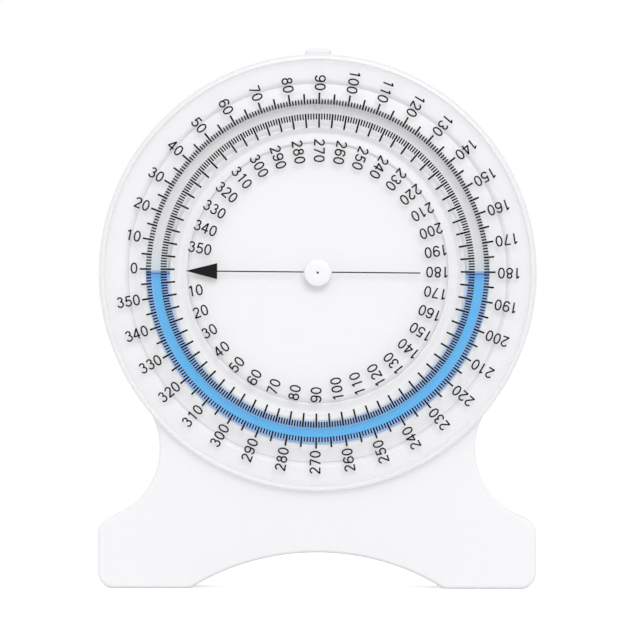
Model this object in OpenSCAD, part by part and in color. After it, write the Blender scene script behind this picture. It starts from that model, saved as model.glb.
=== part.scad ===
// Range of motion inclinometer: a stand with two feet, a clear dial that turns on a rivet,
// and a ring-shaped channel half filled with liquid. Millimetres, +Z up, the dial faces -Y,
// and the origin is at the bottom centre of the whole object.

/* [Dial] */
// Radius of the clear disc
dial_r = 51.1; // [47:0.1:64]
// Thickness of the disc
dial_t = 2; // [1.5:0.1:3]
// Radius of the disc's rim edges
dial_edge_r = 0.6; // [0.2:0.1:0.7]
// Gap between the disc and the stand's face
dial_gap = 0.5; // [0.4:0.05:1]
// Wall of the sleeve in the centre hole
bush_t = 0.75; // [0.5:0.05:1]

/* [Stand] */
// How far the round head stays inside the dial's rim
head_set_back = 0.6; // [0:0.1:3]
// How far the middle of the head lies below the dial's centre
head_drop = 0.5; // [0:0.1:1]
// Height of the head's lowest point above the soles
neck_h = 22.8; // [18:0.1:40]
// How far each foot reaches beyond the dial's rim
foot_reach = 0.2; // [0:0.1:10]
// Height at which the top corner of a foot begins
foot_side_h = 13; // [9:0.1:16]
// Slope of a foot's top, in degrees
foot_slope = 20; // [15:1:35]
// Length of a foot's straight top
foot_top_l = 0.7; // [0.5:0.1:6]
// Radius of the feet's corners
foot_corner_r = 3.8; // [1:0.05:4.5]
// Height of the arch that sits on the limb
arch_h = 8.4; // [5:0.1:11]
// Radius of that arch
arch_r = 56.4; // [45:0.1:70]
// Radius of the edge between arch and sole
sole_edge_r = 3; // [0.5:0.1:4]
// Depth of the stand from its face to its back rim
stand_depth = 18; // [15:0.5:26]
// Thickness of the stand's face
face_t = 2.5; // [1.5:0.1:4]
// Thickness of its outer wall
wall_t = 2; // [1.5:0.1:3]
// Width of the tab on top
tab_w = 6.2; // [4:0.1:12]
// How far the tab rises above the dial
tab_rise = 1.5; // [1:0.1:5]
// Thickness of the tab
tab_t = 2.5; // [1.5:0.1:4]
// Radius of the tab's corners
tab_corner_r = 1.2; // [0.3:0.1:1.8]

/* [Behind the stand's face] */
// Thickness of the walls round the groove
groove_wall_t = 1.6; // [1.2:0.1:2]
// Wall of the boss that the rivet goes through
boss_wall_t = 3.5; // [2:0.1:6]
// Depth of the boss
boss_depth = 8; // [6:0.1:12]
// Thickness of the ribs
rib_t = 1.6; // [1:0.1:2.5]
// Distance of the two foot ribs from the middle
foot_rib_x = 24; // [15:0.5:30]
// How far the foot ribs stay below the back rim
foot_rib_set_back = 6; // [2:0.5:10]

/* [Liquid channel] */
// Distance from the disc's rim to the channel
channel_margin = 11; // [9.5:0.1:14]
// Width of the channel
channel_w = 5.6; // [4:0.1:7]
// Depth of the channel
channel_depth = 3.6; // [3:0.1:5.5]
// Thickness of the channel's walls
channel_wall_t = 1.3; // [1:0.1:1.6]
// How far the ring's flanges reach beyond its walls
flange_w = 2.8; // [2:0.1:3]
// Thickness of the flanges
flange_t = 1; // [0.8:0.1:1.2]
// Gap between the flanges' edges and the walls of the stand's recess
recess_gap = 0.6; // [0.4:0.1:1]
// Depth of the recess that the flanges run in
recess_depth = 1; // [0.8:0.1:1.4]
// Gap between the channel ring and the walls of the stand's groove
groove_gap = 0.6; // [0.4:0.1:1]
// Gap between the channel ring and the floor of the groove
groove_floor_gap = 1.5; // [1.2:0.1:2.5]
// Height of the liquid's level above the dial's centre
level_h = 0.5; // [-5:0.1:5]
// Gap between the liquid's solid and the channel's walls
liquid_gap = 0.1; // [0.05:0.05:0.3]
// Diameter of the fill hole
fill_d = 2; // [1.5:0.1:2.6]
// Gap between the fill hole and the channel's outer wall
fill_margin = 0.1; // [0.1:0.05:0.5]
// How far the fill plug's head stands out round the hole
plug_lip = 0.6; // [0.4:0.1:0.9]
// Thickness of the fill plug's head
plug_head_t = 0.6; // [0.4:0.1:0.8]

/* [Rivet and washers] */
// Diameter of the rivet's shank
shank_d = 4; // [3:0.1:6]
// How far the rivet's head stands out round the shank
rivet_lip = 1.2; // [1:0.1:4]
// Thickness of the rivet's head
rivet_head_t = 1.1; // [0.8:0.1:2]
// Radius of the rivet head's edge
rivet_edge_r = 0.4; // [0.1:0.1:0.7]
// Radial running clearance of the dial on the shank
running_gap = 0.05; // [0.02:0.01:0.1]
// Radial clearance between fixed pieces
fixed_gap = 0.02; // [0.01:0.01:0.04]
// End play of the dial under the rivet's head
end_play = 0.1; // [0.05:0.05:0.2]
// Diameter of the pinhole in the rivet's head
pinhole_d = 0.5; // [0.4:0.1:1]
// Diameter of the rivet pin
pin_d = 1.8; // [1.2:0.1:2]
// Depth of rivet left solid in front of the pin
pin_stop = 3; // [1.5:0.1:6]
// How far the pin's head stands out round the pin
pin_lip = 0.7; // [0.2:0.1:1]
// Thickness of the pin's head
pin_head_t = 0.6; // [0.4:0.1:1]
// Width of the thrust washer's face
thrust_w = 0.95; // [0.7:0.05:1.1]
// Width of the face of the wave washer and the retaining washer
washer_w = 2.5; // [1.5:0.1:3.5]
// Thickness of the wave washer's strip
wave_t = 0.25; // [0.15:0.05:0.4]
// Height of the wave washer as fitted
wave_h = 0.7; // [0.6:0.05:1.2]
// Number of the wave washer's waves
waves = 3; // [2:1:4]
// Thickness of the retaining washer
retainer_t = 0.5; // [0.3:0.1:1]
// Number of slots in the retaining washer
retainer_slots = 6; // [4:1:8]
// Width of each slot
retainer_slot_w = 0.5; // [0.3:0.1:0.8]
// How far the shank stands out behind the retaining washer
shank_end = 1; // [0.6:0.1:2]

/* [Print] */
// Thickness of the ink layer
print_t = 0.06; // [0.04:0.01:0.08]
// How far the print sits above the dial's centre
print_rise = 0.5; // [0:0.05:1]
// How far the arrow and its line sit above the dial's centre
arrow_rise = 0.15; // [0:0.05:1]
// How far the print is turned clockwise, in degrees
print_turn = 0.4; // [0:0.1:1]
// How far the numbers are turned further than their marks, in degrees
number_turn = 0.25; // [0:0.05:0.5]
// How far inside the channel's outer wall the outer marks begin
outer_mark_inset = 1.25; // [0:0.05:2]
// How far outside the channel's inner wall the inner marks begin
inner_mark_inset = 2.15; // [0:0.05:2.3]
// Lengths of the outer marks at 1, 5 and 10 degrees
outer_mark_lengths = [1.15, 2.45, 2.65];
// Lengths of the inner marks at 1, 5 and 10 degrees
inner_mark_lengths = [1.4, 3.3, 3.3];
// Widths of the marks at 1, 5 and 10 degrees
mark_widths = [0.34, 0.42, 0.42];
// Gap between the channel's outer wall and the outer numbers
outer_number_gap = 1.8; // [1.5:0.1:2.5]
// Gap between the channel's inner wall and the inner numbers
inner_number_gap = 3.65; // [2:0.05:5]
// Height of the digits
digit_h = 2.5; // [2:0.1:2.8]
// Width of a digit
digit_w = 1.4; // [1:0.1:1.8]
// Distance from one digit to the next
digit_pitch = 1.9; // [1.5:0.1:2.2]
// Width of a digit's stroke
stroke = 0.34; // [0.2:0.02:0.36]
// Gap between the channel's inner wall and the arrow's tip
arrow_gap = 3.65; // [2:0.05:6]
// Length of the arrow
arrow_l = 7.4; // [4:0.1:10]
// Width of the arrow
arrow_w = 3.75; // [2:0.1:5]
// Width of the diameter line
line_w = 0.28; // [0.2:0.02:0.5]
// Gap between the line's end and the number that it points at
line_gap = 1.2; // [0.5:0.1:3]

/* [Hidden] */
$fn = 96;
// How far a cutter runs past the face that it cuts
cut = 1;
// How far a rib or wall runs into its neighbour
bite = 1;
// Smallest radius that an inner corner keeps
least_r = 0.3;
// How far an arc runs into the curve that it meets, so that the two cross
blend = 0.01;

// Places along the dial's axis, measured forward from the stand's face
disc_back = dial_gap;
disc_front = dial_gap + dial_t;
head_back = disc_front + end_play;
head_front = head_back + rivet_head_t;
flange_back = disc_back - flange_t;
channel_back = disc_back - channel_depth;
ring_back = channel_back - channel_wall_t;
groove_floor = ring_back - groove_floor_gap;
trough_back = groove_floor - groove_wall_t;
shoulder_back = -recess_depth - face_t;
boss_back = -face_t - boss_depth;
wave_back = boss_back - wave_h;
retainer_back = wave_back - retainer_t;
shank_back = retainer_back - shank_end;
pin_front = head_back - pin_stop;

// The stand's head and its height follow from the dial
head_r = dial_r - head_set_back;
head_h = head_r + neck_h;
pivot_h = head_h + head_drop;
foot_w = 2 * (dial_r + foot_reach);

// Radii that follow from the channel
channel_out_r = dial_r - channel_margin;
channel_in_r = channel_out_r - channel_w;
ring_in_r = channel_in_r - channel_wall_t;
ring_out_r = channel_out_r + channel_wall_t;
flange_in_r = ring_in_r - flange_w;
flange_out_r = ring_out_r + flange_w;
recess_in_r = flange_in_r - recess_gap;
recess_out_r = flange_out_r + recess_gap;
groove_in_r = ring_in_r - groove_gap;
groove_out_r = ring_out_r + groove_gap;
trough_in_r = groove_in_r - groove_wall_t;
trough_out_r = groove_out_r + groove_wall_t;
fill_r = channel_out_r - fill_margin - fill_d / 2;

// Radii that follow from the shank
shank_r = shank_d / 2;
bush_bore_r = shank_r + running_gap;
bush_r = bush_bore_r + bush_t;
fixed_bore_r = shank_r + fixed_gap;
rivet_head_r = shank_r + rivet_lip;
boss_r = fixed_bore_r + boss_wall_t;
washer_r = fixed_bore_r + washer_w;

// Radii of the print, which follow from the channel
outer_mark_r = channel_out_r - outer_mark_inset;
inner_mark_r = channel_in_r + inner_mark_inset;
outer_number_r = channel_out_r + outer_number_gap;
inner_number_r = channel_in_r - inner_number_gap;
arrow_tip_r = channel_in_r - arrow_gap;
line_start_r = rivet_head_r + end_play;
line_end_r = inner_number_r - 3 * digit_pitch - line_gap;

// The stand's face, so that the object is centred over its origin
face_y = (head_front - stand_depth) / 2;

// Draws its children on the dial's axis: x to the right, y up and z towards the viewer
module on_axis() {
    translate([0, face_y, pivot_h]) rotate([90, 0, 0]) children();
}

// Draws its children between two places along the axis
module span(from_z, to_z) {
    translate([0, 0, from_z]) linear_extrude(to_z - from_z) children();
}

// A ring between two places along the axis
module ring(in_r, out_r, from_z, to_z) {
    span(from_z, to_z) difference() {
        circle(out_r);
        circle(in_r);
    }
}

module both_sides() {
    children();
    mirror([1, 0]) children();
}

// The stand's outline, drawn inset from its outer surface and about the middle of its head
module stand_outline(inset = 0) {
    sole_y = inset - head_h;
    side_x = foot_w / 2 - inset;
    corner_r = max(foot_corner_r - inset, least_r);
    edge_r = max(sole_edge_r - inset, least_r);
    // The corner touches the foot's side and its sloping top
    top_n = [sin(foot_slope), cos(foot_slope)];
    outer_corner = [foot_w / 2 - foot_corner_r, foot_side_h - head_h];
    top_d = top_n * outer_corner + foot_corner_r - inset;
    corner_x = side_x - corner_r;
    corner_y = (top_d - corner_r - top_n.x * corner_x) / top_n.y;
    // The hollow touches the top's inner end and the round head
    top_end = outer_corner + foot_corner_r * top_n + foot_top_l * [-top_n.y, top_n.x];
    waist_r = (top_end * top_end - pow(head_r, 2)) / (2 * (head_r - top_end * top_n));
    waist_c = top_end + waist_r * top_n;
    hollow_r = waist_r + inset;
    // The edge circle touches the sole and the arch
    arch_c = [0, arch_h - arch_r - head_h];
    arch_cut_r = arch_r + inset;
    edge_y = sole_y + edge_r;
    edge_x = sqrt(pow(arch_cut_r + edge_r - blend, 2) - pow(edge_y - arch_c.y, 2));
    circle(head_r - inset);
    both_sides() {
        difference() {
            polygon([[0, 0], arch_c, [edge_x, edge_y], [edge_x, sole_y], [corner_x, sole_y],
                [side_x, sole_y + corner_r], [side_x, corner_y + blend],
                [corner_x, corner_y] + corner_r * top_n, waist_c - hollow_r * top_n, waist_c]);
            translate(waist_c) circle(hollow_r + blend);
            translate(arch_c) circle(arch_cut_r);
        }
        translate([edge_x, edge_y]) circle(edge_r);
        translate([corner_x, sole_y + corner_r]) circle(corner_r);
        translate([corner_x, corner_y + blend]) circle(corner_r);
    }
}

// The same outline about the dial's axis
module outlined(inset = 0) {
    translate([0, -head_drop]) stand_outline(inset);
}

module tab() {
    root_y = head_r - head_drop - bite;
    corner = [tab_w / 2 - tab_corner_r, dial_r + tab_rise - tab_corner_r];
    span(-tab_t, 0) {
        translate([-tab_w / 2, root_y]) square([tab_w, corner.y - root_y]);
        translate([-corner.x, root_y]) square([2 * corner.x, corner.y + tab_corner_r - root_y]);
        both_sides() translate(corner) circle(tab_corner_r);
    }
}

// Four spokes inside the groove, and two ribs that stiffen the feet
module stand_ribs() {
    for (angle = [45:90:315])
        rotate(angle) translate([boss_r - bite, -rib_t / 2, trough_back])
            cube([trough_in_r - boss_r + 2 * bite, rib_t, -trough_back - bite]);
    foot_rib_h = pivot_h - sqrt(pow(trough_out_r - bite, 2) - pow(foot_rib_x, 2));
    intersection() {
        span(foot_rib_set_back - stand_depth, -bite) outlined(wall_t / 2);
        for (side = [-1, 1])
            translate([side * foot_rib_x - rib_t / 2, -pivot_h, -stand_depth])
                cube([rib_t, foot_rib_h, stand_depth]);
    }
}

module stand() {
    color("whitesmoke") on_axis() difference() {
        union() {
            difference() {
                span(-stand_depth, 0) outlined();
                span(-stand_depth - cut, -face_t) outlined(wall_t);
            }
            tab();
            ring(recess_in_r - groove_wall_t, recess_out_r + groove_wall_t, shoulder_back, -bite);
            ring(trough_in_r, trough_out_r, trough_back, -bite);
            span(boss_back, -bite) circle(boss_r);
            stand_ribs();
        }
        ring(recess_in_r, recess_out_r, -recess_depth, cut);
        ring(groove_in_r, groove_out_r, groove_floor, cut);
        span(boss_back - cut, cut) circle(fixed_bore_r);
    }
}

module dial_face() {
    color([0.9, 0.95, 1, 0.35]) on_axis() rotate_extrude() difference() {
        translate([bush_r, disc_back]) square([dial_r - bush_r, dial_t]);
        for (rim = [[disc_back, 1], [disc_front, -1]])
            translate([dial_r, rim[0]]) scale([-1, rim[1]]) difference() {
                translate([-cut, -cut]) square(dial_edge_r + cut);
                translate([dial_edge_r, dial_edge_r]) circle(dial_edge_r);
            }
    }
}

module channel_ring() {
    color("whitesmoke") on_axis() difference() {
        union() {
            ring(ring_in_r, ring_out_r, ring_back, disc_back);
            ring(flange_in_r, flange_out_r, flange_back, disc_back);
        }
        ring(channel_in_r, channel_out_r, channel_back, disc_back + cut);
        translate([0, fill_r]) span(ring_back - cut, channel_back + cut) circle(d = fill_d);
    }
}

module fill_plug() {
    color("gainsboro") on_axis() translate([0, fill_r]) {
        span(ring_back, channel_back) circle(fill_d / 2 - fixed_gap);
        span(ring_back - plug_head_t, ring_back) circle(fill_d / 2 + plug_lip);
    }
}

module dial_bush() {
    color("white") on_axis() ring(bush_bore_r, bush_r, disc_back, disc_front);
}

module blue_liquid() {
    color([0.4, 0.68, 0.97]) on_axis() difference() {
        ring(channel_in_r + liquid_gap, channel_out_r - liquid_gap,
            channel_back + liquid_gap, disc_back - liquid_gap);
        translate([-channel_out_r - cut, level_h, channel_back - cut])
            cube([2 * (channel_out_r + cut), channel_out_r + cut, channel_depth + 2 * cut]);
    }
}

// Places its children on the front of the dial, where the print lies
module printed(rise = print_rise) {
    color("#262626") on_axis() translate([0, rise, disc_front]) rotate(-print_turn) children();
}

// Which of the three lengths and widths a mark has
function mark_size(degree) = degree % 10 == 0 ? 2 : degree % 5 == 0 ? 1 : 0;

// A ring of degree marks. They grow outwards from their radius, or inwards where side is -1
module degree_marks(start_r, lengths, side) {
    for (degree = [0:359]) {
        length = lengths[mark_size(degree)];
        width = mark_widths[mark_size(degree)];
        rotate(180 - side * degree) translate([side > 0 ? start_r : start_r - length, -width / 2])
            cube([length, width, print_t]);
    }
}

// A straight stroke of a digit between two points
module bar(p, q) {
    d = q - p;
    translate(p) rotate(atan2(d.y, d.x)) translate([0, -stroke / 2]) cube([norm(d), stroke, print_t]);
}

// A curved stroke of a digit
module bow(centre, r, from_angle, to_angle) {
    translate(centre) rotate(from_angle) rotate_extrude(angle = to_angle - from_angle, $fn = 32)
        translate([r - stroke / 2, 0]) square([stroke, print_t]);
}

// The digits stand on the x axis, centred on the y axis, and share these places
bow_r = (digit_w - stroke) / 2;
low_y = stroke / 2;
high_y = digit_h - stroke / 2;
low_c = [0, low_y + bow_r];
high_c = [0, high_y - bow_r];
small_bow_r = (high_y - low_y - 2 * bow_r) / 2;
small_high_c = [0, high_y - small_bow_r];

module zero() {
    bow(low_c, bow_r, 180, 360);
    bow(high_c, bow_r, 0, 180);
    for (side = [-1, 1])
        bar(low_c + [side * bow_r, 0], high_c + [side * bow_r, 0]);
}

module one() {
    bar([bow_r / 2, 0], [bow_r / 2, digit_h]);
    bar([bow_r / 2, digit_h - stroke], [-bow_r, digit_h - 2 * stroke - bow_r / 2]);
}

module two() {
    bow(high_c, bow_r, -40, 180);
    bar(high_c + bow_r * [cos(40), -sin(40)], [-bow_r, low_y]);
    bar([-digit_w / 2, low_y], [digit_w / 2, low_y]);
}

module three() {
    bow(low_c, bow_r, -160, 90);
    bow(small_high_c, small_bow_r, -90, 160);
}

module four() {
    bar([bow_r / 2, 0], [bow_r / 2, digit_h]);
    bar([-digit_w / 2, digit_h / 3], [digit_w / 2, digit_h / 3]);
    bar([bow_r / 2, high_y], [-bow_r, digit_h / 3]);
}

module five() {
    bow(low_c, bow_r, -160, 130);
    bar(low_c + bow_r * [cos(130), sin(130)], [-bow_r * 0.7, high_y]);
    bar([-bow_r, high_y], [digit_w / 2, high_y]);
}

module six() {
    bow(low_c, bow_r, 0, 360);
    bar(low_c - [bow_r, 0], high_c - [bow_r, 0]);
    bow(high_c, bow_r, 20, 180);
}

module seven() {
    bar([-digit_w / 2, high_y], [digit_w / 2, high_y]);
    bar([bow_r, high_y], [-bow_r / 2, 0]);
}

module eight() {
    bow(low_c, bow_r, 0, 360);
    bow(small_high_c, small_bow_r, 0, 360);
}

module nine() {
    translate([0, digit_h]) rotate(180) six();
}

module digit(value) {
    if (value == 0) zero();
    if (value == 1) one();
    if (value == 2) two();
    if (value == 3) three();
    if (value == 4) four();
    if (value == 5) five();
    if (value == 6) six();
    if (value == 7) seven();
    if (value == 8) eight();
    if (value == 9) nine();
}

// A number that starts or ends at the y axis and is centred on the x axis
module number(value, ends_here) {
    digits = [for (c = str(value)) ord(c) - ord("0")];
    start = ends_here ? -digit_pitch * len(digits) : 0;
    for (i = [0:len(digits) - 1])
        translate([start + (i + 0.5) * digit_pitch, -digit_h / 2]) digit(digits[i]);
}

module outer_degree_marks() {
    printed() degree_marks(outer_mark_r, outer_mark_lengths, 1);
}

module outer_numerals() {
    printed() for (degree = [0:10:350])
        rotate(-degree - number_turn) translate([-outer_number_r, 0]) number(degree, true);
}

module inner_degree_marks() {
    printed() degree_marks(inner_mark_r, inner_mark_lengths, -1);
}

module inner_numerals() {
    printed() for (degree = [10:10:350])
        rotate(degree - number_turn) translate([-inner_number_r, 0]) number(degree, false);
}

// A stretch of the diameter line
module line_stretch(from_x, to_x) {
    translate([from_x, -line_w / 2]) cube([to_x - from_x, line_w, print_t]);
}

module pointer_arrow() {
    arrow_end_x = arrow_l - arrow_tip_r;
    printed(arrow_rise) {
        linear_extrude(print_t)
            polygon([[-arrow_tip_r, 0], [arrow_end_x, -arrow_w / 2], [arrow_end_x, arrow_w / 2]]);
        line_stretch(arrow_end_x, -line_start_r);
        line_stretch(line_start_r, line_end_r);
    }
}

module hub_rivet() {
    flat_r = rivet_head_r - rivet_edge_r;
    edge_z = head_front - rivet_edge_r;
    color("white") on_axis() difference() {
        union() {
            span(head_back, edge_z) circle(rivet_head_r);
            span(head_back, head_front) circle(flat_r);
            translate([0, 0, edge_z]) rotate_extrude() translate([flat_r, 0]) intersection() {
                circle(rivet_edge_r);
                square(rivet_edge_r);
            }
            span(shank_back, head_back) circle(shank_r);
        }
        span(pin_front, head_front + cut) circle(d = pinhole_d);
        span(shank_back - cut, pin_front) circle(d = pin_d);
    }
}

module rivet_pin() {
    color("whitesmoke") on_axis() {
        span(shank_back, pin_front - end_play) circle(pin_d / 2 - fixed_gap);
        span(shank_back - pin_head_t, shank_back) circle(pin_d / 2 + pin_lip);
    }
}

module thrust_washer() {
    color("white") on_axis() ring(bush_bore_r, bush_bore_r + thrust_w, 0, disc_back - end_play);
}

// A flat strip bent into waves round the shank
module wave_washer() {
    steps = 48;
    rise = (wave_h - wave_t) / 2;
    mid_z = boss_back - wave_h / 2;
    in_r = fixed_bore_r + running_gap;
    function corner(i, r, side) = let (a = 360 * i / steps)
        [r * cos(a), r * sin(a), mid_z + rise * cos(waves * a) + side * wave_t / 2];
    function section(i) =
        [corner(i, in_r, -1), corner(i, washer_r, -1), corner(i, washer_r, 1), corner(i, in_r, 1)];
    // The two triangles between corners k and k + 1 of section i and of the next section
    function side_faces(i, k) = let (here = 4 * i, next = 4 * ((i + 1) % steps), k2 = (k + 1) % 4)
        [[here + k, next + k, next + k2], [here + k, next + k2, here + k2]];
    points = [for (i = [0:steps - 1]) each section(i)];
    faces = [for (i = [0:steps - 1], k = [0:3]) each side_faces(i, k)];
    color("silver") on_axis() polyhedron(points, faces);
}

module retaining_washer() {
    slot_end = (fixed_bore_r + washer_r) / 2;
    color("silver") on_axis() difference() {
        ring(fixed_bore_r, washer_r, retainer_back, wave_back);
        for (i = [0:retainer_slots - 1])
            rotate(360 * i / retainer_slots) translate([0, -retainer_slot_w / 2, retainer_back - cut])
                cube([slot_end, retainer_slot_w, retainer_t + 2 * cut]);
    }
}

stand();
dial_face();
channel_ring();
fill_plug();
dial_bush();
blue_liquid();
outer_degree_marks();
outer_numerals();
inner_degree_marks();
inner_numerals();
pointer_arrow();
hub_rivet();
rivet_pin();
thrust_washer();
wave_washer();
retaining_washer();
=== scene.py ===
import math

import bmesh
import bpy
from mathutils import Matrix, Vector


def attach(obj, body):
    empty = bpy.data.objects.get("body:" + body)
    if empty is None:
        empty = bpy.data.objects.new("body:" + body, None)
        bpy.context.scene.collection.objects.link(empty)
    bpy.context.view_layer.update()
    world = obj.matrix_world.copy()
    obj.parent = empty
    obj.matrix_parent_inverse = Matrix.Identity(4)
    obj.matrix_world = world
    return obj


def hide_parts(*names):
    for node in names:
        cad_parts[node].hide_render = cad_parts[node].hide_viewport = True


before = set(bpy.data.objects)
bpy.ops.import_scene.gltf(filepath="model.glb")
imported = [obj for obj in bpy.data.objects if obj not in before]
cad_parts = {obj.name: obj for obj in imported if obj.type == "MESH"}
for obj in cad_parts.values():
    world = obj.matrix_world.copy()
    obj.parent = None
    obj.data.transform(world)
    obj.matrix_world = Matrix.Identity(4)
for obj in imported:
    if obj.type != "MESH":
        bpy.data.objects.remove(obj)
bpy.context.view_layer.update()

# The stand is one white ABS moulding: a round head for the dial, an arch between two feet that sits on
# the limb, and a tab on top. It is open at the back, where the dial's groove shows as a round trough
# with four spokes to the rivet's boss, and two ribs stiffen the feet.
MM = 0.001
PIVOT_H = 73.8
FACE_Y = -7.15
HEAD_R = 50.5
HEAD_DROP = 0.5
HEAD_H = PIVOT_H - HEAD_DROP
FOOT_HALF_W = 51.3
CORNER_R = 3.8
FOOT_SIDE_H = 13
FOOT_SLOPE = 20
FOOT_TOP_L = 0.7
ARCH_R = 56.4
ARCH_H = 8.4
SOLE_EDGE_R = 3
STAND_DEPTH = 18
STAND_FACE_T = 2.5
WALL_T = 2
FRONT_EDGE_R = 0.8
RIM_EDGE_R = 0.5
RECESS_IN_R, RECESS_OUT_R = 30.23, 44.37
RECESS_DEPTH = 1.0
RECESS_SLOPE_W = 1.5
GROOVE_IN_R, GROOVE_OUT_R = 32.6, 42.0
GROOVE_DEPTH = 5.9
GROOVE_WALL_T = 1.6
BORE_R = 2.02
BOSS_R = 5.52
BOSS_BACK = -10.5
RIB_T = 1.6
SPOKE_ANGLES = (45, 135, 225, 315)
FOOT_RIB_X, FOOT_RIB_BACK = 24, -12
FOOT_RIB_TOP, FOOT_RIB_KNEE, FOOT_RIB_END = 35.5, 44, 69.7
TAB_W, TAB_T, TAB_TOP = 6.2, 2.5, 126.4
TAB_CORNER_R, TAB_EDGE_R, TAB_FRONT_R = 1.2, 0.35, 1.0

# Meshes are drawn in millimetres on the dial's axis: x to the right, y up, z towards the viewer
ON_AXIS = (Matrix.Translation((0, FACE_Y * MM, PIVOT_H * MM))
           @ Matrix.Rotation(math.radians(90), 4, "X") @ Matrix.Scale(MM, 4))


def rounded(bm, geometry, radius, affect="VERTICES", segments=5):
    bmesh.ops.bevel(bm, geom=geometry, offset=radius, offset_type="OFFSET", affect=affect,
                    segments=segments, profile=0.5, material=-1, clamp_overlap=True)


def spun(profile, closed=False, steps=192, corner_steps=5):
    """A turned shape. Each point of its profile is a radius, a place on the axis and a corner radius."""
    bm = bmesh.new()
    verts = [bm.verts.new((r, 0, z)) for r, z, _ in profile]
    for pair in zip(verts, verts[1:] + verts[:1] if closed else verts[1:]):
        bm.edges.new(pair)
    for vert, (_, _, radius) in zip(verts, profile):
        if radius:
            rounded(bm, [vert], radius, segments=corner_steps)
    bmesh.ops.spin(bm, geom=bm.verts[:] + bm.edges[:], axis=(0, 0, 1), angle=math.tau,
                   steps=steps, use_merge=True)
    bmesh.ops.remove_doubles(bm, verts=bm.verts, dist=1e-4)
    bmesh.ops.recalc_face_normals(bm, faces=bm.faces)
    return bm


def drawn(bm, geometry, at, heading, moves, arc_step):
    """Draws a line or a stroke. A move is a length straight on, or a radius and an angle to turn
    through, which is above zero to the left. Returns the last geometry, its place and its heading."""
    at = Vector((*at, 0))
    for move in moves:
        way = Vector((math.cos(math.radians(heading)), math.sin(math.radians(heading)), 0))
        if isinstance(move, tuple):
            radius, angle = move
            centre = at + math.copysign(radius, angle) * Vector((-way.y, way.x, 0))
            geometry = bmesh.ops.spin(bm, geom=geometry, cent=centre, axis=(0, 0, 1),
                                      angle=math.radians(angle),
                                      steps=max(1, round(abs(angle) / arc_step)))["geom_last"]
            at = centre + Matrix.Rotation(math.radians(angle), 3, "Z") @ (at - centre)
            heading += angle
        else:
            geometry = bmesh.ops.spin(bm, geom=geometry, dvec=way * move, axis=(0, 0, 1), angle=0,
                                      steps=1)["geom_last"]
            at = at + way * move
    return geometry, at, heading


def mesh_of(bm):
    mesh = bpy.data.meshes.new("part")
    bm.to_mesh(mesh)
    bm.free()
    return mesh


def joined(body, others, operation="UNION"):
    """The solid that is left when the others are united with the body or cut from it."""
    loose = []
    for bm in [body, *others]:
        loose.append(bpy.data.objects.new("loose", mesh_of(bm)))
        bpy.context.scene.collection.objects.link(loose[-1])
    for other in loose[1:]:
        modifier = loose[0].modifiers.new("join", "BOOLEAN")
        modifier.operation, modifier.solver, modifier.object = operation, "MANIFOLD", other
    bpy.context.view_layer.update()
    mesh = bpy.data.meshes.new_from_object(loose[0].evaluated_get(bpy.context.evaluated_depsgraph_get()))
    bm = bmesh.new()
    bm.from_mesh(mesh)
    for piece in loose:
        bpy.data.meshes.remove(piece.data)
    bpy.data.meshes.remove(mesh)
    return bm


def piece(name, bm, materials, body, slot, stands_for=None, sharp=40):
    """Puts a finished mesh in its place on the dial's axis and makes it ride on its body."""
    bmesh.ops.transform(bm, matrix=ON_AXIS, verts=bm.verts)
    mesh = mesh_of(bm)
    mesh.name = name
    for material in materials if isinstance(materials, list) else [materials]:
        mesh.materials.append(material)
    mesh.polygons.foreach_set("use_smooth", [True] * len(mesh.polygons))
    mesh.set_sharp_from_angle(angle=math.radians(sharp))
    made = bpy.data.objects.new(name, mesh)
    bpy.context.scene.collection.objects.link(made)
    made.modifiers.new("even shading", "WEIGHTED_NORMAL").keep_sharp = True
    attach(made, body)
    if stands_for:
        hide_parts(stands_for)
    return made


def stand_half_moves():
    """The stand's outline from the top of its head, down its right side and up to the arch's top."""
    down, across = math.sin(math.radians(FOOT_SLOPE)), math.cos(math.radians(FOOT_SLOPE))
    foot_top = Vector((down, across))
    top_end = (Vector((FOOT_HALF_W - CORNER_R, FOOT_SIDE_H - HEAD_H)) + CORNER_R * foot_top
               + FOOT_TOP_L * Vector((-across, down)))
    waist_r = (top_end.length_squared - HEAD_R ** 2) / (2 * (HEAD_R - top_end @ foot_top))
    waist = top_end + waist_r * foot_top
    head_sweep = 90 - math.degrees(math.atan2(waist.y, waist.x))
    arch_rise = SOLE_EDGE_R + ARCH_R - ARCH_H
    edge_x = math.sqrt((ARCH_R + SOLE_EDGE_R) ** 2 - arch_rise ** 2)
    arch_sweep = math.degrees(math.atan2(edge_x, arch_rise))
    return [(HEAD_R, -head_sweep), (waist_r, head_sweep - FOOT_SLOPE), FOOT_TOP_L,
            (CORNER_R, FOOT_SLOPE - 90), FOOT_SIDE_H - CORNER_R, (CORNER_R, -90),
            FOOT_HALF_W - CORNER_R - edge_x, (SOLE_EDGE_R, -arch_sweep), (ARCH_R, arch_sweep)]


def only(kind, geometry):
    return [item for item in geometry if isinstance(item, kind)]


def loops_at(bm, z):
    """The edges that lie at one place on the axis."""
    return [e for e in bm.edges if all(abs(v.co.z - z) < 1e-3 for v in e.verts)]


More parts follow.
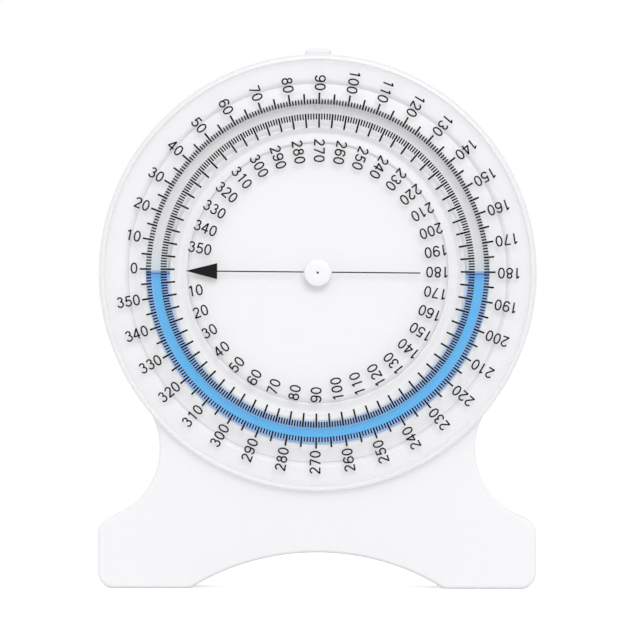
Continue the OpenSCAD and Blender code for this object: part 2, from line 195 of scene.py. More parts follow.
def stand_shell():
    bm = bmesh.new()
    top = HEAD_R - HEAD_DROP
    drawn(bm, [bm.verts.new((0, top, 0))], (0, top), 0, stand_half_moves(), 2.5)
    bmesh.ops.mirror(bm, geom=bm.verts[:] + bm.edges[:], merge_dist=1e-3, axis="X")
    bmesh.ops.remove_doubles(bm, verts=bm.verts, dist=1e-3)
    front = bmesh.ops.contextual_create(bm, geom=bm.edges[:])["faces"]
    back = bmesh.ops.extrude_face_region(bm, geom=front)["geom"]
    bmesh.ops.translate(bm, vec=(0, 0, -STAND_DEPTH), verts=only(bmesh.types.BMVert, back))
    back = only(bmesh.types.BMFace, back)
    bmesh.ops.inset_region(bm, faces=back, thickness=WALL_T, use_even_offset=True)
    bmesh.ops.recalc_face_normals(bm, faces=bm.faces)
    inner = bmesh.ops.extrude_face_region(bm, geom=back)["geom"]
    bmesh.ops.translate(bm, vec=(0, 0, STAND_DEPTH - STAND_FACE_T),
                        verts=only(bmesh.types.BMVert, inner))
    bmesh.ops.delete(bm, geom=back, context="FACES_ONLY")
    rounded(bm, loops_at(bm, 0), FRONT_EDGE_R, "EDGES", 6)
    rounded(bm, [e for e in loops_at(bm, -STAND_DEPTH) if e.calc_face_angle(0) > 1],
            RIM_EDGE_R, "EDGES", 3)
    rounded(bm, loops_at(bm, -STAND_FACE_T), 0.8, "EDGES", 3)
    return bm


def stand_mesh():
    shell = stand_shell()
    bmesh.ops.delete(shell, geom=[f for f in shell.faces if len(f.verts) > 100], context="FACES_ONLY")
    trough_in_r, trough_out_r = GROOVE_IN_R - GROOVE_WALL_T, GROOVE_OUT_R + GROOVE_WALL_T
    shoulder_in_r, shoulder_out_r = RECESS_IN_R - GROOVE_WALL_T, RECESS_OUT_R + GROOVE_WALL_T
    slope = RECESS_SLOPE_W / 2
    trough_back, shoulder_back = -GROOVE_DEPTH - GROOVE_WALL_T, -RECESS_DEPTH - STAND_FACE_T
    middle = mesh_of(spun([
        (RECESS_OUT_R + 1.3, 0, 0), (RECESS_OUT_R + slope, 0, 0.35),
        (RECESS_OUT_R - slope, -RECESS_DEPTH, 0.3),
        (GROOVE_OUT_R, -RECESS_DEPTH, 0.25), (GROOVE_OUT_R, -GROOVE_DEPTH, 0.5),
        (GROOVE_IN_R, -GROOVE_DEPTH, 0.5), (GROOVE_IN_R, -RECESS_DEPTH, 0.25),
        (RECESS_IN_R + slope, -RECESS_DEPTH, 0.3), (RECESS_IN_R - slope, 0, 0.35), (BORE_R, 0, 0.3),
        (BORE_R, BOSS_BACK, 0.2), (BOSS_R, BOSS_BACK, 0.4), (BOSS_R, -STAND_FACE_T, 0.5),
        (shoulder_in_r, -STAND_FACE_T, 0.3), (shoulder_in_r, shoulder_back, 0.3),
        (trough_in_r, shoulder_back, 0.4), (trough_in_r, trough_back, 0.4),
        (trough_out_r, trough_back, 0.4), (trough_out_r, shoulder_back, 0.4),
        (shoulder_out_r, shoulder_back, 0.3), (shoulder_out_r, -STAND_FACE_T, 0.2),
        (shoulder_out_r + 0.3, -STAND_FACE_T, 0)]))
    shell.from_mesh(middle)
    bpy.data.meshes.remove(middle)
    for z in (0, -STAND_FACE_T):
        rims = [e for e in loops_at(shell, z) if e.is_boundary]
        bmesh.ops.triangle_fill(shell, use_beauty=True, edges=rims, normal=(0, 0, 1))
    bmesh.ops.recalc_face_normals(shell, faces=shell.faces)
    spokes = [slab([(BOSS_R - 1, -1), (BOSS_R - 1, trough_back + 0.2),
                    (trough_in_r + 0.8, trough_back + 0.2), (trough_in_r + 0.8, -1)],
                   Matrix.Rotation(math.radians(angle), 4, "Z"))
              for angle in SPOKE_ANGLES]
    foot_ribs = [slab([(FOOT_RIB_TOP, -1), (FOOT_RIB_TOP, trough_back + 0.4),
                       (FOOT_RIB_KNEE, FOOT_RIB_BACK), (FOOT_RIB_END, FOOT_RIB_BACK), (FOOT_RIB_END, -1)],
                      Matrix.Translation((x, 0, 0)) @ Matrix.Rotation(math.radians(-90), 4, "Z"))
                 for x in (-FOOT_RIB_X, FOOT_RIB_X)]
    return joined(shell, [*spokes, *foot_ribs, tab()])


def slab(corners, place):
    """A rib: its side view drawn outwards from the axis, with its back edges rounded."""
    bm = bmesh.new()
    side = [bm.verts.new((x, -RIB_T / 2, z)) for x, z in corners]
    faces = [bm.faces.new(side)]
    grown = bmesh.ops.extrude_face_region(bm, geom=faces)["geom"]
    bmesh.ops.translate(bm, vec=(0, RIB_T, 0), verts=only(bmesh.types.BMVert, grown))
    bmesh.ops.recalc_face_normals(bm, faces=bm.faces)
    back = min(z for _, z in corners)
    edges = [e for e in bm.edges if abs(e.verts[0].co.y - e.verts[1].co.y) < 1e-4
             and min(v.co.z for v in e.verts) < back + 1e-3 and e.calc_length() > 1]
    rounded(bm, edges, 0.3, "EDGES", 3)
    bmesh.ops.transform(bm, matrix=place, verts=bm.verts)
    return bm


def tab():
    bm = bmesh.new()
    low, high = HEAD_R - HEAD_DROP - 1, TAB_TOP - PIVOT_H
    corners = [bm.verts.new((x, y, -0.05)) for x, y in
               ((-TAB_W / 2, low), (TAB_W / 2, low), (TAB_W / 2, high), (-TAB_W / 2, high))]
    face = bm.faces.new(corners)
    rounded(bm, corners[2:], TAB_CORNER_R, segments=6)
    grown = bmesh.ops.extrude_face_region(bm, geom=bm.faces[:])["geom"]
    bmesh.ops.translate(bm, vec=(0, 0, 0.05 - TAB_T), verts=only(bmesh.types.BMVert, grown))
    bmesh.ops.recalc_face_normals(bm, faces=bm.faces)
    for z, radius in ((-0.05, TAB_FRONT_R), (-TAB_T, TAB_EDGE_R)):
        edges = [e for e in loops_at(bm, z) if max(v.co.y for v in e.verts) > low + 0.1]
        rounded(bm, edges, radius, "EDGES", 5)
    return bm


def grained(name, colours, roughness, grain, bump):
    """A material whose colour, gloss and height wander with one noise. Its grain is in millimetres."""
    material = bpy.data.materials.new(name)
    material.use_nodes = True
    nodes, link = material.node_tree.nodes, material.node_tree.links.new
    shader = nodes["Principled BSDF"]
    place = nodes.new("ShaderNodeTexCoord")
    noise = nodes.new("ShaderNodeTexNoise")
    noise.inputs["Scale"].default_value = 1 / (grain * MM)
    noise.inputs["Detail"].default_value = 3
    link(place.outputs["Object"], noise.inputs["Vector"])
    shade = nodes.new("ShaderNodeValToRGB")
    for stop, position, colour in zip(shade.color_ramp.elements, (0.35, 0.65), colours):
        stop.position, stop.color = position, (*colour, 1)
    link(noise.outputs["Fac"], shade.inputs["Fac"])
    link(shade.outputs["Color"], shader.inputs["Base Color"])
    gloss = nodes.new("ShaderNodeMapRange")
    gloss.inputs["To Min"].default_value, gloss.inputs["To Max"].default_value = roughness
    link(noise.outputs["Fac"], gloss.inputs["Value"])
    link(gloss.outputs["Result"], shader.inputs["Roughness"])
    height = nodes.new("ShaderNodeBump")
    height.inputs["Strength"].default_value = 0.4
    height.inputs["Distance"].default_value = bump * MM
    link(noise.outputs["Fac"], height.inputs["Height"])
    link(height.outputs["Normal"], shader.inputs["Normal"])
    return material


white_plastic = grained("white_plastic", ((0.868, 0.867, 0.883), (0.888, 0.887, 0.903)),
                        (0.38, 0.48), 0.6, 0.01)
piece("stand_moulding", stand_mesh(), white_plastic, "base", "white_plastic", "stand")

# The dial is a clear acrylic disc with a soft turned rim. It overhangs the stand's head and runs just
# clear of its face, and light falls through it.
DIAL_R = 51.1
DISC_BACK, DISC_FRONT = 0.5, 2.5
DIAL_EDGE_R = 0.9
RIM_BAND_R = 49.9
BUSH_R = 2.8


def see_through(name, tint, edge_tint, ior, roughness, shade, edge_shade, grain, clear=1.0):
    """A clear material. Camera rays bend in it and are tinted, more where they graze it. Lamps' rays
    and diffuse rays go straight through it, shaded, and least where they graze it."""
    material = bpy.data.materials.new(name)
    material.use_nodes = True
    nodes, link = material.node_tree.nodes, material.node_tree.links.new
    shader = nodes["Principled BSDF"]
    shader.inputs["Transmission Weight"].default_value = clear
    shader.inputs["IOR"].default_value = ior
    place = nodes.new("ShaderNodeTexCoord")
    noise = nodes.new("ShaderNodeTexNoise")
    noise.inputs["Scale"].default_value = 1 / (grain * MM)
    link(place.outputs["Object"], noise.inputs["Vector"])
    wander = nodes.new("ShaderNodeValToRGB")
    for stop, colour in zip(wander.color_ramp.elements, tint):
        stop.color = (*colour, 1)
    link(noise.outputs["Fac"], wander.inputs["Fac"])
    gloss = nodes.new("ShaderNodeMapRange")
    gloss.inputs["To Min"].default_value, gloss.inputs["To Max"].default_value = roughness
    link(noise.outputs["Fac"], gloss.inputs["Value"])
    link(gloss.outputs["Result"], shader.inputs["Roughness"])
    facing = nodes.new("ShaderNodeLayerWeight")

    def grazed(power, plain, grazing):
        """A colour that changes where a ray grazes the surface."""
        bend = nodes.new("ShaderNodeMath")
        bend.operation = "POWER"
        bend.inputs[1].default_value = power
        link(facing.outputs["Facing"], bend.inputs[0])
        mix = nodes.new("ShaderNodeMix")
        mix.data_type = "RGBA"
        link(bend.outputs["Value"], mix.inputs["Factor"])
        if isinstance(plain, tuple):
            mix.inputs["A"].default_value = (*plain, 1)
        else:
            link(plain, mix.inputs["A"])
        mix.inputs["B"].default_value = (*grazing, 1)
        return mix.outputs["Result"]

    link(grazed(2, wander.outputs["Color"], edge_tint), shader.inputs["Base Color"])
    straight = nodes.new("ShaderNodeBsdfTransparent")
    link(grazed(5, shade, edge_shade), straight.inputs["Color"])
    path = nodes.new("ShaderNodeLightPath")
    surface = shader.outputs["BSDF"]
    for ray in ("Is Diffuse Ray", "Is Shadow Ray"):
        mix = nodes.new("ShaderNodeMixShader")
        link(path.outputs[ray], mix.inputs["Fac"])
        link(surface, mix.inputs[1])
        link(straight.outputs["BSDF"], mix.inputs[2])
        surface = mix.outputs["Shader"]
    link(surface, nodes["Material Output"].inputs["Surface"])
    return material


clear_plastic = see_through("clear_plastic", ((0.99, 0.993, 0.995), (0.997, 0.998, 1.0)),
                            (0.7, 0.72, 0.75), 1.49, (0.0, 0.02), (1.0, 1.0, 1.0), (0.75, 0.76, 0.78), 4)
clear_rim = see_through("clear_rim", ((0.88, 0.88, 0.89), (0.92, 0.92, 0.93)), (0.86, 0.86, 0.87),
                        1.49, (0.15, 0.3), (0.76, 0.77, 0.78), (0.3, 0.31, 0.33), 4, clear=0.3)
disc = spun([(BUSH_R, DISC_BACK, 0.05), (RIM_BAND_R, DISC_BACK, 0), (DIAL_R, DISC_BACK, DIAL_EDGE_R),
             (DIAL_R, DISC_FRONT, DIAL_EDGE_R), (RIM_BAND_R, DISC_FRONT, 0), (BUSH_R, DISC_FRONT, 0.05)],
            closed=True)
for face in disc.faces:
    if min(math.hypot(v.co.x, v.co.y) for v in face.verts) > RIM_BAND_R - 0.02:
        face.material_index = 1
piece("dial_disc", disc, [clear_plastic, clear_rim], "dial", "clear_plastic", "dial_face")

# The liquid's channel is a white moulded trough. Its flanges are bonded to the back of the disc and
# run in the stand's recess. It was filled through a hole at the top, shut by a small plug from behind.
CHANNEL_IN_R, CHANNEL_OUT_R = 34.5, 40.1
CHANNEL_BACK = -3.1
FLANGE_IN_R, FLANGE_OUT_R = 30.4, 44.2
FLANGE_FRONT, FLANGE_BACK = -0.15, -0.5
FLANGE_RIM_FRONT = FLANGE_FRONT - 0.23
INNER_RIM_FRONT, INNER_RIDGE_FRONT, INNER_HOLLOW_FRONT = -0.25, 0.05, -0.4
RING_WALL_T = 1.3
RING_BACK = CHANNEL_BACK - RING_WALL_T
BOND_T = 0.02
FILL_HOLE_R = 1
FILL_HOLE_AT = (0, 39.0, 0)
PLUG_R = FILL_HOLE_R - 0.02
PLUG_HEAD_R = 1.6
PLUG_BACK = RING_BACK - 0.6

wall_in_r, wall_out_r = CHANNEL_IN_R - RING_WALL_T, CHANNEL_OUT_R + RING_WALL_T
wall_top = DISC_BACK - BOND_T
ring = spun([(FLANGE_IN_R, INNER_RIM_FRONT, 0.06), (FLANGE_IN_R + 0.35, INNER_RIDGE_FRONT, 0.25),
             (wall_in_r - 1.0, INNER_HOLLOW_FRONT, 0.35), (wall_in_r - 0.5, INNER_HOLLOW_FRONT, 0.3),
             (wall_in_r + 0.7, wall_top, 0.3),
             (CHANNEL_IN_R, wall_top, 0.15), (CHANNEL_IN_R, CHANNEL_BACK, 0.8),
             (CHANNEL_OUT_R, CHANNEL_BACK, 0.8), (CHANNEL_OUT_R, wall_top, 0.15),
             (wall_out_r - 0.2, wall_top, 0.3), (wall_out_r + 1.6, FLANGE_FRONT, 0.6),
             (FLANGE_OUT_R, FLANGE_RIM_FRONT, 0.04), (FLANGE_OUT_R, FLANGE_BACK, 0.06),
             (wall_out_r, FLANGE_BACK, 0.5), (wall_out_r, RING_BACK, 0.5), (wall_in_r, RING_BACK, 0.5),
             (wall_in_r, FLANGE_BACK, 0.5), (FLANGE_IN_R, FLANGE_BACK, 0.06)], closed=True)
hole = spun([(0, CHANNEL_BACK + 1, 0), (FILL_HOLE_R, CHANNEL_BACK + 1, 0),
             (FILL_HOLE_R, RING_BACK - 1, 0), (0, RING_BACK - 1, 0)], steps=48)
bmesh.ops.translate(hole, vec=FILL_HOLE_AT, verts=hole.verts)
piece("liquid_channel", joined(ring, [hole], "DIFFERENCE"), white_plastic, "dial", "white_plastic",
      "channel_ring")
plug = spun([(0, CHANNEL_BACK, 0), (PLUG_R, CHANNEL_BACK, 0.15), (PLUG_R, RING_BACK, 0),
             (PLUG_HEAD_R, RING_BACK, 0.1), (PLUG_HEAD_R, PLUG_BACK + 0.1, 0.25), (0, PLUG_BACK, 0)],
            steps=48)
bmesh.ops.translate(plug, vec=FILL_HOLE_AT, verts=plug.verts)
white_nylon = grained("white_nylon", ((0.86, 0.865, 0.88), (0.89, 0.895, 0.91)), (0.3, 0.42), 0.5, 0.008)
piece("channel_plug", plug, white_nylon, "dial", "white_nylon", "fill_plug")

# Blue liquid fills the lower half of the channel. Its level dips between the walls, where a thin film
# climbs them. Its own colour is deep blue. Light and shade are painted over it: paler blue by the rounded
# walls and up the thin film, where light would pass through less liquid, and a dark band along its level,
# where the meniscus would turn light back.
LIQUID_GAP = 0.02
LEVEL_STEPS = ((0.12, 0.30), (0.14, 0.20), (0.2, 0.14), (0.3, 0.08), (0.4, 0.04))
FILM_TOP = 0.5
DEEP_BLUE_R = 37.5
PAINTED_PALE_BLUE, PAINTED_LEVEL_LINE_SHADE, PAINTED_SHADE_UNDER_LEVEL = (0.36, 0.55, 0.95), (0.015, 0.16, 0.56), (0.06, 0.32, 0.85)

# Painted light and shade laid over the blue: a distance from the deep blue, or a height over the axis,
# then a colour and how much of it
# Painted light: paler towards the rounded walls, palest right at them
PAINTED_WALL_LIGHT = ((0.95, PAINTED_PALE_BLUE, 0), (1.5, PAINTED_PALE_BLUE, 1), (2.3, PAINTED_PALE_BLUE, 1),
               (2.7, (0.60, 0.74, 1.0), 1), (3.0, (0.85, 0.92, 1.0), 1))
# Painted shade: darker blue below the level and a dark band just under it; painted light: paler up the
# film
PAINTED_LEVEL_SHADE_AND_LIGHT = ((-2.0, PAINTED_SHADE_UNDER_LEVEL, 0), (-1.0, PAINTED_SHADE_UNDER_LEVEL, 0.6),
                (-0.5, (0.06, 0.34, 0.87), 0.4), (-0.4, PAINTED_LEVEL_LINE_SHADE, 1), (-0.2, PAINTED_LEVEL_LINE_SHADE, 1),
                (-0.02, (0.18, 0.36, 0.75), 1), (0.5, (0.50, 0.60, 0.80), 1))

blue_liquid = see_through("blue_liquid", ((0.06, 0.50, 1.0), (0.09, 0.54, 1.0)), (0.12, 0.5, 1.0),
                          1.34, (0.0, 0.01), (0.7, 0.96, 1.0), (0.4, 0.6, 0.9), 6, clear=0.15)
liquid_nodes, liquid_link = blue_liquid.node_tree.nodes, blue_liquid.node_tree.links.new


def measured(kind, operation, value, other=None):
    """The outputs of a maths node that works on one value, or on it and another."""
    node = liquid_nodes.new(kind)
    node.operation = operation
    liquid_link(value, node.inputs[0])
    if other is not None:
        node.inputs[1].default_value = other
    return node.outputs


def laid_over(measure, shades):
    """Paints light and shade over the liquid's colour, each at its own measure."""
    colour = liquid_nodes["Principled BSDF"].inputs["Base Color"]
    least, most = shades[0][0], shades[-1][0]
    along = liquid_nodes.new("ShaderNodeMapRange")
    along.inputs["From Min"].default_value = least * MM
    along.inputs["From Max"].default_value = most * MM
    liquid_link(measure, along.inputs["Value"])
    ramp = liquid_nodes.new("ShaderNodeValToRGB")
    stops = ramp.color_ramp.elements
    while len(stops) < len(shades):
        stops.new(0.5)
    for stop, (at, shade, share) in zip(stops, shades):
        stop.position, stop.color = (at - least) / (most - least), (*shade, share)
    liquid_link(along.outputs["Result"], ramp.inputs["Fac"])
    mix = liquid_nodes.new("ShaderNodeMix")
    mix.data_type = "RGBA"
    liquid_link(ramp.outputs["Alpha"], mix.inputs["Factor"])
    liquid_link(colour.links[0].from_socket, mix.inputs["A"])
    liquid_link(ramp.outputs["Color"], mix.inputs["B"])
    liquid_link(mix.outputs["Result"], colour)


# Painted light: the blue grows paler with distance from the middle of the channel, towards its walls
place = liquid_nodes.new("ShaderNodeTexCoord").outputs["Object"]
from_axis = measured("ShaderNodeVectorMath", "SUBTRACT", place, (0, 0, PIVOT_H * MM))["Vector"]
upright = measured("ShaderNodeVectorMath", "MULTIPLY", from_axis, (1, 0, 1))["Vector"]
radius = measured("ShaderNodeVectorMath", "LENGTH", upright)["Value"]
off_middle = measured("ShaderNodeMath", "SUBTRACT", radius, DEEP_BLUE_R * MM)["Value"]
laid_over(measured("ShaderNodeMath", "ABSOLUTE", off_middle)["Value"], PAINTED_WALL_LIGHT)
# Painted shade and light by height: a dark band along the level, a paler thin film above it
apart = liquid_nodes.new("ShaderNodeSeparateXYZ")
liquid_link(from_axis, apart.inputs["Vector"])
laid_over(apart.outputs["Z"], PAINTED_LEVEL_SHADE_AND_LIGHT)

in_r, out_r = CHANNEL_IN_R + LIQUID_GAP, CHANNEL_OUT_R - LIQUID_GAP
back, front = CHANNEL_BACK + LIQUID_GAP, DISC_BACK - LIQUID_GAP - BOND_T
liquid = bmesh.new()
section = liquid.faces.new([liquid.verts.new((-r, 0, z)) for r, z in
                            ((in_r, back), (out_r, back), (out_r, front), (in_r, front))])
rounded(liquid, [v for v in section.verts if v.co.z < 0], 0.8)
liquid.faces.ensure_lookup_table()
ends = [liquid.faces[0]]
half_turn = bmesh.ops.spin(liquid, geom=liquid.verts[:] + liquid.edges[:] + liquid.faces[:],
                           axis=(0, 0, 1), angle=math.pi, steps=96)["geom_last"]
ends += only(bmesh.types.BMFace, half_turn)
for end in ends:
    raised = bmesh.ops.extrude_face_region(liquid, geom=[end])["geom"]
    bmesh.ops.translate(liquid, vec=(0, FILM_TOP, 0), verts=only(bmesh.types.BMVert, raised))
    level = only(bmesh.types.BMFace, raised)
    if end.is_valid:
        bmesh.ops.delete(liquid, geom=[end], context="FACES_ONLY")
    liquid.normal_update()
    for width, dip in LEVEL_STEPS:
        bmesh.ops.inset_region(liquid, faces=level, thickness=width, use_even_offset=True)
        bmesh.ops.translate(liquid, vec=(0, -dip, 0), verts=level[0].verts)
bmesh.ops.recalc_face_normals(liquid, faces=liquid.faces)
piece("channel_liquid", liquid, blue_liquid, "liquid", "blue_liquid", "blue_liquid", sharp=60)

# Both scales and the arrow are printed in black on the front of the disc. The marks and the arrow are
# flat, and each digit is cut from strokes of one width.
PRINT_T = 0.06
PRINT_RISE, PRINT_TURN = 0.5, -0.4
PRINT_AT = (Matrix.Translation((0, PRINT_RISE, DISC_FRONT))
            @ Matrix.Rotation(math.radians(PRINT_TURN), 4, "Z"))
NUMBER_TURN = 0.25
DIGIT_H = 2.53
DIGIT_PITCH = 1.9
STROKE_W = 0.14
OUTER_NUMBER_R, INNER_NUMBER_R = 41.9, 30.85

# For each digit its strokes: where one starts, its heading and how it goes on. A digit is 1 high
DIGITS = [
    [(0, 0.945, 180, [(0.2, 62.5), (0.73, 55), (0.2, 125), (0.73, 55), (0.2, 62.5)])],
    [(0.07, 0, 90, [1]), (0.06, 0.965, -125, [(0.45, -35)])],
    [(-0.231, 0.751, 80, [(0.235, -212), 0.66]), (-0.29, 0.0625, 0, [0.58])],
    [(-0.203, 0.797, 75, [(0.2, -255)]), (0, 0.555, 0, [(0.25, -255)])],
    [(0.12, 0, 90, [1]), (-0.34, 0.295, 0, [0.64]), (0.1, 0.97, 239.8, [0.78])],
    [(-0.15, 0.9375, 0, [0.4]), (-0.14, 0.97, 263.3, [0.51]), (-0.217, 0.504, 50, [(0.27, -300)])],
    [(0.265, 0.315, 90, [(0.26, 360)]), (-0.255, 0.315, 90, [(1.952, -13.17), (0.24, -151.8)])],
    [(-0.27, 0.9375, 0, [0.54]), (0.25, 0.93, 236, [(2.129, 27)])],
    [(0.2, 0.745, 90, [(0.2, 360)]), (0.25, 0.305, 90, [(0.25, 360)])],
    [(-0.265, 0.685, 270, [(0.26, 360)]), (0.255, 0.685, 270, [(1.952, -13.17), (0.24, -151.8)])],
]


def stroke(x, y, heading, moves):
    bm = bmesh.new()
    turn = math.radians(heading)
    half = Vector((-math.sin(turn), math.cos(turn), 0)) * STROKE_W / 2
    ends = [bm.verts.new(Vector((x, y, 0)) + side * half) for side in (-1, 1)]
    drawn(bm, [*ends, bm.edges.new(ends)], (x, y), heading, moves, 20)
    bmesh.ops.remove_doubles(bm, verts=bm.verts, dist=1e-3)
    grown = bmesh.ops.extrude_face_region(bm, geom=bm.faces[:])["geom"]
    bmesh.ops.translate(bm, vec=(0, 0, PRINT_T / DIGIT_H), verts=only(bmesh.types.BMVert, grown))
    bmesh.ops.recalc_face_normals(bm, faces=bm.faces)
    return bm


def digit_mesh(strokes):
    first, *others = [stroke(*s) for s in strokes]
    whole = joined(first, others) if others else first
    bmesh.ops.dissolve_limit(whole, angle_limit=math.radians(1), verts=whole.verts, edges=whole.edges)
    return mesh_of(whole)


def numbers(degrees, side):
    """A ring of numbers. They stand outside their radius, or inside it and counter-clockwise."""
    bm = bmesh.new()
    for degree in degrees:
        turn = Matrix.Rotation(math.radians(-side * degree - NUMBER_TURN), 4, "Z")
        start = -OUTER_NUMBER_R - DIGIT_PITCH * len(str(degree)) if side > 0 else -INNER_NUMBER_R
        for place, value in enumerate(str(degree)):
            at = Matrix.Translation((start + (place + 0.5) * DIGIT_PITCH, -DIGIT_H / 2, 0))
            copy = digits[int(value)].copy()
            copy.transform(PRINT_AT @ turn @ at @ Matrix.Scale(DIGIT_H, 4))
            bm.from_mesh(copy)
            bpy.data.meshes.remove(copy)
    return bm


black_ink = grained("black_ink", ((0.006, 0.006, 0.006), (0.010, 0.010, 0.010)), (0.5, 0.6), 0.3, 0.002)
black_ink.node_tree.nodes["Principled BSDF"].inputs["Specular IOR Level"].default_value = 0.1
digits = [digit_mesh(strokes) for strokes in DIGITS]
piece("outer_numbers", numbers(range(0, 360, 10), 1), black_ink, "dial", "black_ink", "outer_numerals")
piece("inner_numbers", numbers(range(10, 360, 10), -1), black_ink, "dial", "black_ink", "inner_numerals")
for node in ("outer_degree_marks", "inner_degree_marks", "pointer_arrow"):
    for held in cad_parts[node].material_slots:
        held.material = black_ink

# The dial turns on a white nylon push rivet, which holds dial and stand together. A pin pushed in from
# behind spreads its split shank. Nylon washers and a sleeve keep the disc off the stand and the shank.
RIVET_HEAD_R = 3.2
RIVET_BACK, RIVET_FRONT = 2.6, 3.7
SHANK_R = 2
SHANK_BACK = -12.7
PIN_R = 0.88
PIN_BORE_R = 0.9
PIN_BORE_FRONT = -0.4
PINHOLE_R = 0.25
PIN_HEAD_R = 1.6
SPLIT_W, SPLIT_L, SPLIT_ACROSS = 0.5, 7, 6
WASHER_BORE_R = 2.05
THRUST_R, THRUST_T = 3.0, 0.4

rivet = spun([(PINHOLE_R, RIVET_FRONT - 0.05, 0.12), (1.6, RIVET_FRONT, 0.6),
              (RIVET_HEAD_R, RIVET_FRONT - 0.15, 0.25), (RIVET_HEAD_R, RIVET_BACK, 0.1),
              (SHANK_R, RIVET_BACK, 0), (SHANK_R, SHANK_BACK, 0.3),
              (PIN_BORE_R, SHANK_BACK, 0.1), (PIN_BORE_R, PIN_BORE_FRONT, 0),
              (PINHOLE_R, PIN_BORE_FRONT, 0)], closed=True, steps=96)
splits = []
for angle in (0, 90):
    split = bmesh.new()
    bmesh.ops.create_cube(split, size=1, matrix=Matrix.Rotation(math.radians(angle), 4, "Z")
                          @ Matrix.Translation((0, 0, SHANK_BACK))
                          @ Matrix.Diagonal((SPLIT_ACROSS, SPLIT_W, SPLIT_L, 1)))
    splits.append(split)
piece("push_rivet", joined(rivet, splits, "DIFFERENCE"), white_nylon, "base", "white_nylon", "hub_rivet")
pin = spun([(0, -0.5, 0), (PIN_R, -0.5, 0.3), (PIN_R, SHANK_BACK, 0), (PIN_HEAD_R, SHANK_BACK, 0.1),
            (PIN_HEAD_R, SHANK_BACK - 0.45, 0.3), (0, SHANK_BACK - 0.6, 0)], steps=64)
piece("spreading_pin", pin, white_nylon, "base", "white_nylon", "rivet_pin")
thrust = spun([(WASHER_BORE_R, 0, 0.08), (THRUST_R, 0, 0.08), (THRUST_R, THRUST_T, 0.12),
               (WASHER_BORE_R, THRUST_T, 0.12)], closed=True, steps=96)
piece("plain_washer", thrust, white_nylon, "base", "white_nylon", "thrust_washer")
bush = spun([(WASHER_BORE_R, DISC_BACK, 0.1), (BUSH_R, DISC_BACK, 0.05), (BUSH_R, DISC_FRONT, 0.05),
             (WASHER_BORE_R, DISC_FRONT, 0.1)], closed=True, steps=96)
piece("dial_sleeve", bush, white_nylon, "dial", "white_nylon", "dial_bush")

# Behind the boss a wave washer of spring steel gives the dial its light friction, and a push-on washer
# with bent tongues holds the shank.
WAVE_MID_Z = -10.85
WAVE_RISE = 0.225
WAVES = 3
WAVE_BORE_R = 2.07
WASHER_R = 4.52
STEEL_T = 0.25
RETAINER_FRONT = -11.2
TONGUES = 6
TONGUE_ROOT_R, TONGUE_TIP_R, TONGUE_BEND = 3.0, 2.03, 0.5
SLIT_MID_R, SLIT_L, SLIT_W = 2.4, 1.7, 0.5

spring_steel = grained("spring_steel", ((0.5, 0.5, 0.51), (0.62, 0.62, 0.63)), (0.25, 0.4), 0.2, 0.004)
spring_steel.node_tree.nodes["Principled BSDF"].inputs["Metallic"].default_value = 1
wave = spun([(WAVE_BORE_R, -STEEL_T / 2, 0.05), (WASHER_R, -STEEL_T / 2, 0.05),
             (WASHER_R, STEEL_T / 2, 0.05), (WAVE_BORE_R, STEEL_T / 2, 0.05)],
            closed=True, steps=96, corner_steps=2)
for vert in wave.verts:
    vert.co.z += WAVE_MID_Z + WAVE_RISE * math.cos(WAVES * math.atan2(vert.co.y, vert.co.x))
piece("wave_spring", wave, spring_steel, "base", "spring_steel", "wave_washer")
retainer = spun([(TONGUE_ROOT_R + 0.1, RETAINER_FRONT, 0.3), (WASHER_R, RETAINER_FRONT, 0.06),
                 (WASHER_R, RETAINER_FRONT - STEEL_T, 0.06),
                 (TONGUE_ROOT_R, RETAINER_FRONT - STEEL_T, 0.3),
                 (TONGUE_TIP_R, RETAINER_FRONT - TONGUE_BEND, 0.03),
                 (TONGUE_TIP_R, RETAINER_FRONT - TONGUE_BEND + STEEL_T, 0.03)],
                closed=True, steps=96, corner_steps=3)
slits = []
for tongue in range(TONGUES):
    slit = bmesh.new()
    bmesh.ops.create_cube(slit, size=1, matrix=Matrix.Rotation(math.tau * tongue / TONGUES, 4, "Z")
                          @ Matrix.Translation((SLIT_MID_R, 0, RETAINER_FRONT))
                          @ Matrix.Diagonal((SLIT_L, SLIT_W, 3, 1)))
    slits.append(slit)
piece("push_on_washer", joined(retainer, slits, "DIFFERENCE"), spring_steel, "base", "spring_steel",
      "retaining_washer")

# A pale floor, a soft key light from the front and above, an even surround, and a camera that looks
# straight at the dial from far away, as in the photograph.
FLOOR_W, FLOOR_DROP, FLOOR_GLOW = 20, 0.02, 0.6
SURROUND_LIGHT = 0.79
VIEW_W = 149.25
VIEW_FROM_DISC = 1200
VIEW_X, VIEW_H, VIEW_ROLL = 0.56, 62.78, -0.13

floor_mesh = bmesh.new()
bmesh.ops.create_grid(floor_mesh, x_segments=1, y_segments=1, size=FLOOR_W,
                      matrix=Matrix.Translation((0, 0, -FLOOR_DROP * MM)))
floor = bpy.data.objects.new("floor", mesh_of(floor_mesh))
bpy.context.scene.collection.objects.link(floor)


def whitened(nodes, link, plain, seen, even):
    """Where the camera sees it, a surface keeps its own pale look with the shadow. Mirrored or seen
    through glass it looks evenly white. Everything else is lit by its plain look."""
    path = nodes.new("ShaderNodeLightPath")
    for ray, look in (("Is Camera Ray", seen), ("Is Glossy Ray", even), ("Is Transmission Ray", even)):
        mix = nodes.new("ShaderNodeMixShader")
        link(path.outputs[ray], mix.inputs["Fac"])
        link(plain, mix.inputs[1])
        link(look, mix.inputs[2])
        plain = mix.outputs["Shader"]
    return plain


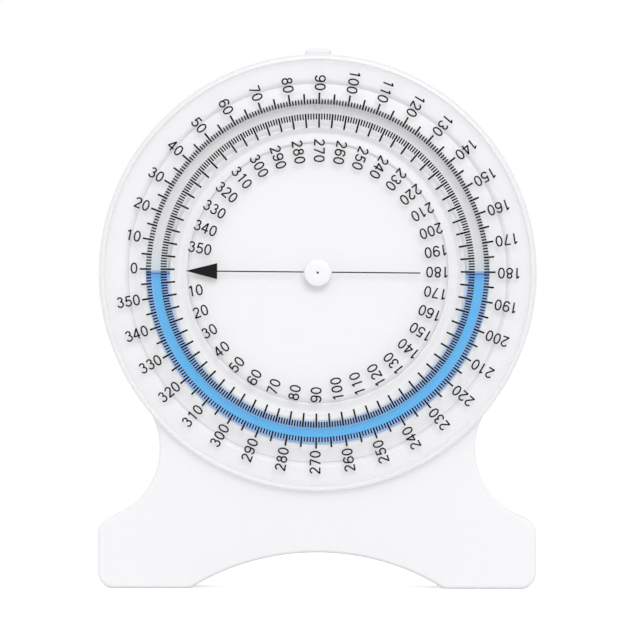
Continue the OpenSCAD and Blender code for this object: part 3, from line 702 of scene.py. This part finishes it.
def pale_floor():
    material = bpy.data.materials.new("pale_floor")
    material.use_nodes = True
    nodes, link = material.node_tree.nodes, material.node_tree.links.new
    shader = nodes["Principled BSDF"]
    shader.inputs["Base Color"].default_value = (0.8, 0.8, 0.8, 1)
    shader.inputs["Roughness"].default_value = 1
    shader.inputs["Specular IOR Level"].default_value = 0
    glow = nodes.new("ShaderNodeEmission")
    glow.inputs["Strength"].default_value = FLOOR_GLOW
    both = nodes.new("ShaderNodeAddShader")
    link(shader.outputs["BSDF"], both.inputs[0])
    link(glow.outputs["Emission"], both.inputs[1])
    even = nodes.new("ShaderNodeEmission")
    link(whitened(nodes, link, shader.outputs["BSDF"], both.outputs["Shader"], even.outputs["Emission"]),
         nodes["Material Output"].inputs["Surface"])
    return material


floor.data.materials.append(pale_floor())

world = bpy.data.worlds.new("surround")
bpy.context.scene.world = world
world.use_nodes = True
world_nodes, world_link = world.node_tree.nodes, world.node_tree.links.new
world_nodes["Background"].inputs["Color"].default_value = (1, 1, 1, 1)
world_nodes["Background"].inputs["Strength"].default_value = SURROUND_LIGHT
white = world_nodes.new("ShaderNodeBackground")
white.inputs["Color"].default_value = (1, 1, 1, 1)
world_link(whitened(world_nodes, world_link, world_nodes["Background"].outputs["Background"],
                    white.outputs["Background"], white.outputs["Background"]),
           world_nodes["World Output"].inputs["Surface"])


def soft_sun(name, energy, size, towards):
    """A sun as wide as its size in degrees, that shines the way it is told."""
    light = bpy.data.lights.new(name, "SUN")
    light.energy, light.angle = energy, math.radians(size)
    lamp = bpy.data.objects.new(name, light)
    lamp.rotation_euler = Vector(towards).to_track_quat("-Z", "Y").to_euler()
    bpy.context.scene.collection.objects.link(lamp)


soft_sun("key_light", 0.97, 30, (-0.12, 1, -0.45))
soft_sun("back_light", 0.35, 60, (0.3, -1, -0.6))

camera = bpy.data.objects.new("camera", bpy.data.cameras.new("camera"))
camera.data.sensor_width = 36
camera.data.lens = 36 * VIEW_FROM_DISC / VIEW_W
camera.location = (VIEW_X * MM, (FACE_Y - DISC_FRONT - VIEW_FROM_DISC) * MM, VIEW_H * MM)
camera.rotation_euler = (math.radians(90), math.radians(VIEW_ROLL), 0)
bpy.context.scene.collection.objects.link(camera)
bpy.context.scene.camera = camera

bpy.context.scene.view_settings.view_transform = "Standard"
